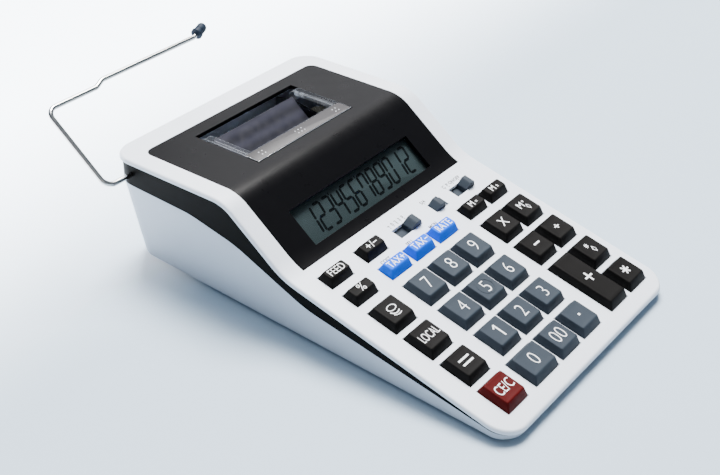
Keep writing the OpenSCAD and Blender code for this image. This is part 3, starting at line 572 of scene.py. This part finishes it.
def ring(radius_x, radius_y, line, sides, start=0.0, turn=360.0):
    """Flat printed line round an ellipse, or part of it."""
    mesh = bmesh.new()
    foot = bmesh.ops.create_cube(mesh, size=1)["verts"]
    bmesh.ops.scale(mesh, vec=(line, 0.0000001, print_thick), verts=foot)
    bmesh.ops.remove_doubles(mesh, verts=mesh.verts, dist=0.000001)
    bmesh.ops.translate(mesh, vec=(radius_x, 0, 0), verts=mesh.verts)
    turned(mesh, start)
    bmesh.ops.spin(
        mesh, geom=mesh.verts[:] + mesh.edges[:], cent=(0, 0, 0), axis=(0, 0, 1),
        angle=math.radians(turn), steps=sides, use_merge=turn == 360)
    bmesh.ops.scale(mesh, vec=(1, radius_y / radius_x, 1), verts=mesh.verts)
    bmesh.ops.remove_doubles(mesh, verts=mesh.verts, dist=0.000002)
    bmesh.ops.recalc_face_normals(mesh, faces=mesh.faces)
    return mesh


def stripe(width, depth, x=0.0, y=0.0):
    """Flat printed bar."""
    mesh = bmesh.new()
    bmesh.ops.create_cube(mesh, size=1)
    bmesh.ops.scale(mesh, vec=(width, depth, print_thick), verts=mesh.verts)
    return shifted(mesh, x, y)


def diamond(size):
    """Open diamond sign."""
    return ring(size * 0.62, size, size * 0.26, 4)


def coins():
    """Exchange sign: a coin on edge with two curved marks under it."""
    return joined([
        shifted(ring(2.6 * MM, 1.5 * MM, 0.55 * MM, 28), 0, 1.0 * MM),
        ring(2.9 * MM, 2.4 * MM, 0.6 * MM, 12, 195, 120),
        shifted(ring(3.2 * MM, 2.4 * MM, 0.5 * MM, 12, 215, 90), 0.2 * MM, -1.1 * MM),
    ])


def over_line(text, sign):
    """Memory sign with a small mark beside it."""
    return joined([
        shifted(lettering(text, 3.5 * MM, 0.0), -1.7 * MM, 0),
        shifted(lettering(sign, 2.0 * MM, 0.0), 2.1 * MM, -0.3 * MM),
    ])


white_print = plastic("white_print", (0.86, 0.88, 0.90), 0.45, 0.000001, 0.01)

figure_height = 7.2 * MM


def figures(text, narrow=0.92):
    """Thin print of a number key."""
    return lettering(text, figure_height, -0.018, narrow)


KEYS = {
    "key_feed": (jet_plastic, lambda: lettering("FEED", 3.9 * MM, -0.006, 0.86)),
    "key_sign": (jet_plastic, lambda: lettering("+/−", 4.0 * MM, 0.0)),
    "key_percent": (jet_plastic, lambda: lettering("%", 4.4 * MM, -0.006)),
    "key_tax_plus": (blue_plastic, lambda: lettering("TAX+", 3.9 * MM, 0.0, 0.84)),
    "key_tax_minus": (blue_plastic, lambda: lettering("TAX−", 3.9 * MM, 0.0, 0.84)),
    "key_rate": (blue_plastic, lambda: lettering("RATE", 3.9 * MM, 0.0, 0.84)),
    "key_memory_total": (jet_plastic, lambda: over_line("M", "=")),
    "key_memory_plus_minus": (jet_plastic, lambda: over_line("M", "±")),
    "key_exchange": (jet_plastic, coins),
    "key_7": (slate_plastic, lambda: figures("7")),
    "key_8": (slate_plastic, lambda: figures("8")),
    "key_9": (slate_plastic, lambda: figures("9")),
    "key_multiply": (jet_plastic, lambda: lettering("X", 5.2 * MM, -0.004)),
    "key_memory_diamond": (jet_plastic, lambda: joined([
        shifted(lettering("M", 4.0 * MM, 0.0), -1.5 * MM, 0.9 * MM),
        shifted(lettering("*", 2.2 * MM, 0.012), 2.0 * MM, 2.0 * MM),
        shifted(diamond(1.5 * MM), 1.6 * MM, -2.0 * MM)])),
    "key_local": (jet_plastic, lambda: lettering("LOCAL", 4.6 * MM, -0.006, 0.74)),
    "key_4": (slate_plastic, lambda: figures("4")),
    "key_5": (slate_plastic, lambda: figures("5")),
    "key_6": (slate_plastic, lambda: figures("6")),
    "key_minus": (jet_plastic, lambda: stripe(4.4 * MM, 0.95 * MM)),
    "key_divide": (jet_plastic, lambda: lettering("÷", 5.0 * MM, 0.01)),
    "key_equals": (jet_plastic, lambda: joined([
        stripe(7.0 * MM, 0.95 * MM, 0, 1.3 * MM), stripe(7.0 * MM, 0.95 * MM, 0, -1.3 * MM)])),
    "key_1": (slate_plastic, lambda: joined([
        stripe(0.8 * MM, figure_height, 0.5 * MM),
        shifted(turned(stripe(2.4 * MM, 0.75 * MM), 42), -0.4 * MM, 2.65 * MM)])),
    "key_2": (slate_plastic, lambda: figures("2")),
    "key_3": (slate_plastic, lambda: figures("3")),
    "key_plus": (jet_plastic, lambda: joined([
        stripe(5.6 * MM, 1.0 * MM), stripe(1.0 * MM, 2.3 * MM, 0, 1.65 * MM),
        stripe(1.0 * MM, 2.3 * MM, 0, -1.65 * MM)])),
    "key_subtotal": (jet_plastic, lambda: joined([
        shifted(lettering("#", 2.6 * MM, 0.01), -0.9 * MM, 1.9 * MM),
        shifted(diamond(1.7 * MM), 0.9 * MM, -1.6 * MM)])),
    "key_clear": (maroon_plastic, lambda: lettering("CE/C", 5.2 * MM, -0.004, 0.7)),
    "key_0": (slate_plastic, lambda: figures("0")),
    "key_00": (slate_plastic, lambda: figures("00", 0.88)),
    "key_point": (slate_plastic, lambda: stripe(1.2 * MM, 1.2 * MM)),
    "key_total": (jet_plastic, lambda: joined([
        stripe(5.0 * MM, 0.85 * MM)] + [
        turned(stripe(5.0 * MM, 0.85 * MM), a) for a in (60, 120)])),
}


for node, (material, legend) in KEYS.items():
    low, high = slope_box(node, keypad_tilt)
    middle = Vector(((low.x + high.x) / 2, (low.y + high.y) / 2, 0))
    width = high.x - low.x - 2 * tab_reach
    cap = key_cap(width, high.y - low.y, low.z, high.z)
    for side in (-1, 1):
        tab(cap, side * (width + tab_reach) / 2, tab_reach, low.z)
    if node == "key_5":
        locator = ring(4.3 * MM, 4.3 * MM, 0.42 * MM, 48)
        bmesh.ops.scale(locator, vec=(1, 1, 5), verts=locator.verts)
        bmesh.ops.translate(locator, vec=(0, 0.6 * MM, high.z - 0.16 * MM), verts=locator.verts)
        cap = joined([cap, locator])
    half_x = width / 2 - side_taper
    sign = narrowed(legend(), half_x - 0.75 * MM)
    shifted(sign, 0, (front_taper - back_taper) / 2)
    laid_on(sign, cap, 0.045 * MM, high.z)
    stood_on(cap, keypad_tilt, middle)
    finished(node + "_cap", cap, material, node, [node], 50)
    stood_on(sign, keypad_tilt, middle)
    finished(node + "_sign", sign, white_print, node, ())

# ---- Slide switches ----
# Three slate knobs with ribbed grips run in slots behind the keys, each with a thin
# skirt under the cover. Their settings are printed on the cover in pale grey-brown.
for node in ("decimal_switch", "rounding_switch", "power_switch"):
    knob = finished(
        node + "_knob", merged_copy(node), slate_plastic, node, [node])
    break_edges(knob, 0.25 * MM)

grey_print = plastic("grey_print", (0.022, 0.02, 0.02), 0.5, 0.000001, 0.02, 0.2)
mark_height = 1.9 * MM

cover_ground = merged_copy("top_cover")
bmesh.ops.rotate(
    cover_ground, cent=(0, 0, 0), matrix=Matrix.Rotation(-keypad_tilt, 3, "X"), verts=cover_ground.verts)


def on_cover(name, x, y, sign):
    """Prints a sign on the keypad's slope, at x and at y along the slope."""
    laid_on(shifted(sign, x, y), cover_ground, 0.02 * MM)
    finished(name, stood_on(sign, keypad_tilt), grey_print, "case", ())


for node, word in (("key_tax_plus", "COST"), ("key_tax_minus", "SELL"), ("key_rate", "MGN")):
    low, high = slope_box(node, keypad_tilt)
    on_cover(
        node + "_word", (low.x + high.x) / 2, high.y + 1.3 * MM, lettering(word, mark_height, 0.015))
for node, marks in (
        ("decimal_switch", (("+", 0), ("0", 2.7), ("2", 5.4), ("3", 8.1), ("F", 10.8))),
        ("rounding_switch", (("5/4", 1.0),)),
        ("power_switch", (("C", -1.5), ("P", 1.5), ("ON", 5.0), ("OFF", 9.6)))):
    low, high = slope_box(node, keypad_tilt)
    start = low.x + 1.6 * MM
    for n, (word, step) in enumerate(marks):
        on_cover(
            f"{node}_mark_{n}", start + step * MM, high.y + 2.0 * MM,
            lettering(word, mark_height, 0.015))
        on_cover(f"{node}_tick_{n}", start + step * MM, high.y + 0.55 * MM, stripe(0.35 * MM, 0.6 * MM))

# ---- Tear bar ----
# Clear plastic frame that hinges on two pins. Its cross piece is frosted underneath,
# where the paper is torn, and every moulded edge has a painted highlight: a lighter, less clear material
# on its bevel.
clear_body, clear_tree, clear_surface = shader("tear_bar_clear", (0.16, 0.17, 0.19), 0.10)
clear_surface.inputs["Alpha"].default_value = 0.12
grain(clear_tree, noise(clear_tree, 90), clear_surface, 0.00001)
# Painted highlight: a lighter, less clear copy of the clear plastic for the shine along the edges.
painted_edge_highlight, edge_highlight_tree, edge_highlight_surface = shader("tear_bar_edge_highlight", (0.50, 0.54, 0.60), 0.12)
edge_highlight_surface.inputs["Alpha"].default_value = 0.5
grain(edge_highlight_tree, noise(edge_highlight_tree, 400), edge_highlight_surface, 0.00001)
frost_colour = (0.042, 0.040, 0.042)
frosted, frost_tree, frost_surface = shader("tear_bar_frost", frost_colour, 0.45)
mottle(
    frost_tree, noise(frost_tree, 1400, 4), frost_surface.inputs["Base Color"], frost_colour, 0.18)
grain(frost_tree, noise(frost_tree, 3000), frost_surface, 0.00002)
frost_surface.inputs["Specular IOR Level"].default_value = 0.25

dot_gloss, dot_tree, dot_surface = shader("tear_bar_dots", (0.55, 0.57, 0.60), 0.2)
grain(dot_tree, noise(dot_tree, 400), dot_surface, 0.000002)

bar_mesh = merged_copy("tear_bar")
sharp = [e for e in bar_mesh.edges if len(e.link_faces) == 2 and e.calc_face_angle(0) > math.radians(40)]
# The bevels of the sharp edges get the painted edge highlight.
for face in bevelled(bar_mesh, sharp, 0.32 * MM, 2, clamp=True):
    face.material_index = 1
finished(
    "tear_bar_frame", bar_mesh, [clear_body, painted_edge_highlight], "tear_bar", ["tear_bar"])

roof_tilt = math.radians(-1.2)
tear_low, tear_high = slope_box("tear_bar", roof_tilt)
cross_depth = 8.7 * MM
frost_half = 33.7 * MM
frost_inset = 0.45 * MM
frost_top = tear_high.z + 0.02 * MM
frost = plate(
    Vector((-frost_half, tear_low.y + frost_inset, tear_high.z - 1.5 * MM)),
    Vector((frost_half, tear_low.y + cross_depth - frost_inset, frost_top)),
    0.5 * MM, 0.05 * MM)
frost_faces = set(frost.faces)
for group, count in ((-27, 4), (0, 6), (27, 4)):
    for n in range(count):
        dot = bmesh.ops.create_uvsphere(frost, u_segments=10, v_segments=6, radius=0.36 * MM)["verts"]
        x = (group + (n // 2 - (count / 2 - 1) / 2) * 2.2) * MM
        y = tear_low.y + cross_depth / 2 + (1.2 if n % 2 else -1.2) * MM
        bmesh.ops.scale(frost, vec=(1, 1, 0.5), verts=dot)
        bmesh.ops.translate(frost, vec=(x, y, frost_top), verts=dot)
for face in frost.faces:
    face.material_index = 0 if face in frost_faces else 1
stood_on(frost, roof_tilt)
finished("tear_bar_frosting", frost, [frosted, dot_gloss], "tear_bar", ())

# ---- Paper guide and printer ----
# A slanted dark guide leads the paper up to the tear bar. Behind it the printer's
# steel side plates carry the type drum, the felt ink roller and the rubber feed roller.


def guide_plastic():
    """Violet-grey plastic with shallow bands where the paper has polished it."""
    colour = (0.020, 0.020, 0.030)
    material, tree, surface = shader("guide_plastic", colour, 0.34)
    place = tree.nodes.new("ShaderNodeTexCoord")
    wave = tree.nodes.new("ShaderNodeTexWave")
    wave.bands_direction = "Y"
    wave.inputs["Scale"].default_value = 55
    wave.inputs["Distortion"].default_value = 1.5
    tree.links.new(place.outputs["Object"], wave.inputs["Vector"])
    mottle(tree, wave, surface.inputs["Base Color"], colour, 0.35)
    spread(tree, noise(tree, 200), surface.inputs["Roughness"], 0.28, 0.42)
    return material


give([
    ("paper_guide", guide_plastic()),
    ("printer_frame", metal("frame_steel", (0.22, 0.23, 0.24), 0.35)),
    ("printer_motor", metal("motor_can", (0.45, 0.45, 0.46), 0.30)),
    ("motor_pinion", metal("brass", (0.70, 0.46, 0.16), 0.28)),
    ("drive_gear", plastic("gear_acetal", (0.55, 0.53, 0.45), 0.40)),
    ("feed_roller", plastic("roller_rubber", (0.012, 0.012, 0.013), 0.65, 0.00002)),
    ("print_drum", plastic("drum_plastic", (0.018, 0.018, 0.020), 0.40)),
    ("ink_roller", plastic("ink_felt", (0.010, 0.006, 0.030), 0.85, 0.00006, 0.2)),
])

# ---- Paper arm ----
# Nickel-plated spring wire bent in one plane, from its pivot in the band up the leg and
# across to the seat of the paper roll. A rubber cap keeps the roll on.
wire = 1.25 * MM
arm_plane = math.radians(36)
pivot = Vector((0, 98.0 * MM, 47.2 * MM))
arm_bright = metal("bright_nickel", (0.60, 0.585, 0.565), 0.16, 500)


class Wire:
    """Round wire drawn along a path in the X-Y plane, one run or bend at a time."""

    def __init__(self, start):
        self.mesh = bmesh.new()
        self.place = Vector(start)
        self.heading = math.pi
        made = bmesh.ops.create_circle(self.mesh, cap_ends=True, radius=wire, segments=24)["verts"]
        bmesh.ops.rotate(
            self.mesh, cent=(0, 0, 0), matrix=Matrix.Rotation(math.radians(90), 3, "Y"), verts=made)
        bmesh.ops.translate(self.mesh, vec=self.place, verts=made)
        self.end = list(self.mesh.edges)

    def along(self):
        """Direction the wire runs in."""
        return Vector((math.cos(self.heading), math.sin(self.heading), 0))

    def run(self, length):
        """Straight stretch."""
        made = bmesh.ops.extrude_edge_only(self.mesh, edges=self.end)["geom"]
        verts = [g for g in made if isinstance(g, bmesh.types.BMVert)]
        bmesh.ops.translate(self.mesh, vec=self.along() * length, verts=verts)
        self.end = [
            g for g in made if isinstance(g, bmesh.types.BMEdge) and all(v in verts for v in g.verts)]
        self.place += self.along() * length

    def bend(self, angle, radius):
        """Bend to the left by angle in degrees, or to the right if it is negative."""
        side = math.copysign(1, angle)
        out = Vector((-math.sin(self.heading), math.cos(self.heading), 0)) * side
        centre = self.place + out * radius
        steps = max(3, round(abs(angle) / 7))
        made = bmesh.ops.spin(
            self.mesh, geom=self.end + list({v for e in self.end for v in e.verts}), cent=centre,
            axis=(0, 0, 1), angle=math.radians(angle), steps=steps)["geom_last"]
        self.end = [g for g in made if isinstance(g, bmesh.types.BMEdge)]
        turn = Matrix.Rotation(math.radians(angle), 3, "Z")
        self.place = centre + turn @ (self.place - centre)
        self.heading += math.radians(angle)

    def closed(self):
        """The finished wire with both ends capped."""
        bmesh.ops.contextual_create(self.mesh, geom=self.end)
        bmesh.ops.recalc_face_normals(self.mesh, faces=self.mesh.faces)
        return self.mesh


def taken(angle, radius):
    """Length a bend takes from each run beside it."""
    return radius * math.tan(math.radians(abs(angle)) / 2)


leg = 44.9 * MM
to_jog = 30 * MM
jog_along = 5.4 * MM
jog_out = 2.3 * MM
seat = 62 * MM
cap_turn = 20
cap_neck = 2.5 * MM
jog_angle = math.degrees(math.atan2(jog_out, jog_along))
jog_length = math.hypot(jog_along, jog_out)
corner = 5 * MM
soft = 4 * MM
knee = 6 * MM
wall_x = -68.8 * MM
inner_end = wall_x + 11.5 * MM
leg_x = wall_x - 14.7 * MM

arm = Wire((inner_end, 0, 0))
arm.run(inner_end - leg_x - taken(90, corner))
arm.bend(-90, corner)
arm.run(leg - 2 * taken(90, corner))
arm.bend(-90, corner)
arm.run(to_jog - taken(90, corner) - taken(jog_angle, soft))
arm.bend(jog_angle, soft)
arm.run(jog_length - 2 * taken(jog_angle, soft))
arm.bend(-jog_angle, soft)
arm.run(seat - taken(jog_angle, soft) - taken(cap_turn, knee))
arm.bend(cap_turn, knee)
cap_foot = arm.place + arm.along() * (cap_neck - taken(cap_turn, knee))
cap_heading = arm.heading
arm.run(cap_neck + 4 * MM - taken(cap_turn, knee))


def in_arm_plane(mesh):
    """Puts a mesh drawn in the X-Y plane onto the plane of the raised arm."""
    bmesh.ops.rotate(mesh, cent=(0, 0, 0), matrix=Matrix.Rotation(arm_plane, 3, "X"), verts=mesh.verts)
    bmesh.ops.translate(mesh, vec=pivot, verts=mesh.verts)
    return mesh


def lathe(profile, sides=32):
    """Solid turned about X from (x, radius) points."""
    mesh = bmesh.new()
    points = [mesh.verts.new((x, 0, r)) for x, r in profile]
    for a, b in zip(points, points[1:]):
        mesh.edges.new((a, b))
    bmesh.ops.spin(
        mesh, geom=mesh.verts[:] + mesh.edges[:], cent=(0, 0, 0), axis=(1, 0, 0),
        angle=math.tau, steps=sides, use_merge=True)
    bmesh.ops.remove_doubles(mesh, verts=mesh.verts, dist=0.000001)
    bmesh.ops.recalc_face_normals(mesh, faces=mesh.faces)
    return mesh


clip_at = wall_x + 9.3 * MM
clip = lathe([
    (0, 0), (0, 2.2 * MM), (0.1 * MM, 2.4 * MM), (0.7 * MM, 2.4 * MM), (0.8 * MM, 2.2 * MM),
    (0.8 * MM, 0)])
bmesh.ops.translate(clip, vec=(clip_at, 0, 0), verts=clip.verts)
finished(
    "wire_arm", in_arm_plane(joined([arm.closed(), clip])), arm_bright, "paper_arm",
    ["paper_arm"])

cap_length = 8.4 * MM
collar = 3.0 * MM
neck = 2.55 * MM
dome = [
    (cap_length - 2.2 * MM * (1 - math.sin(a)), 0.6 * MM + (neck - 0.6 * MM) * math.cos(a))
    for a in [math.radians(15 * n) for n in range(7)]]
cap_piece = lathe(
    [(0, 0), (0, collar - 0.3 * MM), (0.3 * MM, collar), (1.5 * MM, collar),
     (1.8 * MM, collar - 0.3 * MM), (1.9 * MM, neck), (3.0 * MM, neck), (3.15 * MM, neck - 0.15 * MM),
     (3.5 * MM, neck - 0.15 * MM), (3.65 * MM, neck)] + dome + [(cap_length, 0)])
bmesh.ops.rotate(
    cap_piece, cent=(0, 0, 0), matrix=Matrix.Rotation(cap_heading, 3, "Z"), verts=cap_piece.verts)
bmesh.ops.translate(cap_piece, vec=cap_foot, verts=cap_piece.verts)
finished(
    "rubber_cap", in_arm_plane(cap_piece),
    plastic("cap_rubber", (0.012, 0.021, 0.038), 0.6, 0.00002, 0.1, 0.15),
    "paper_arm", ["arm_cap"])
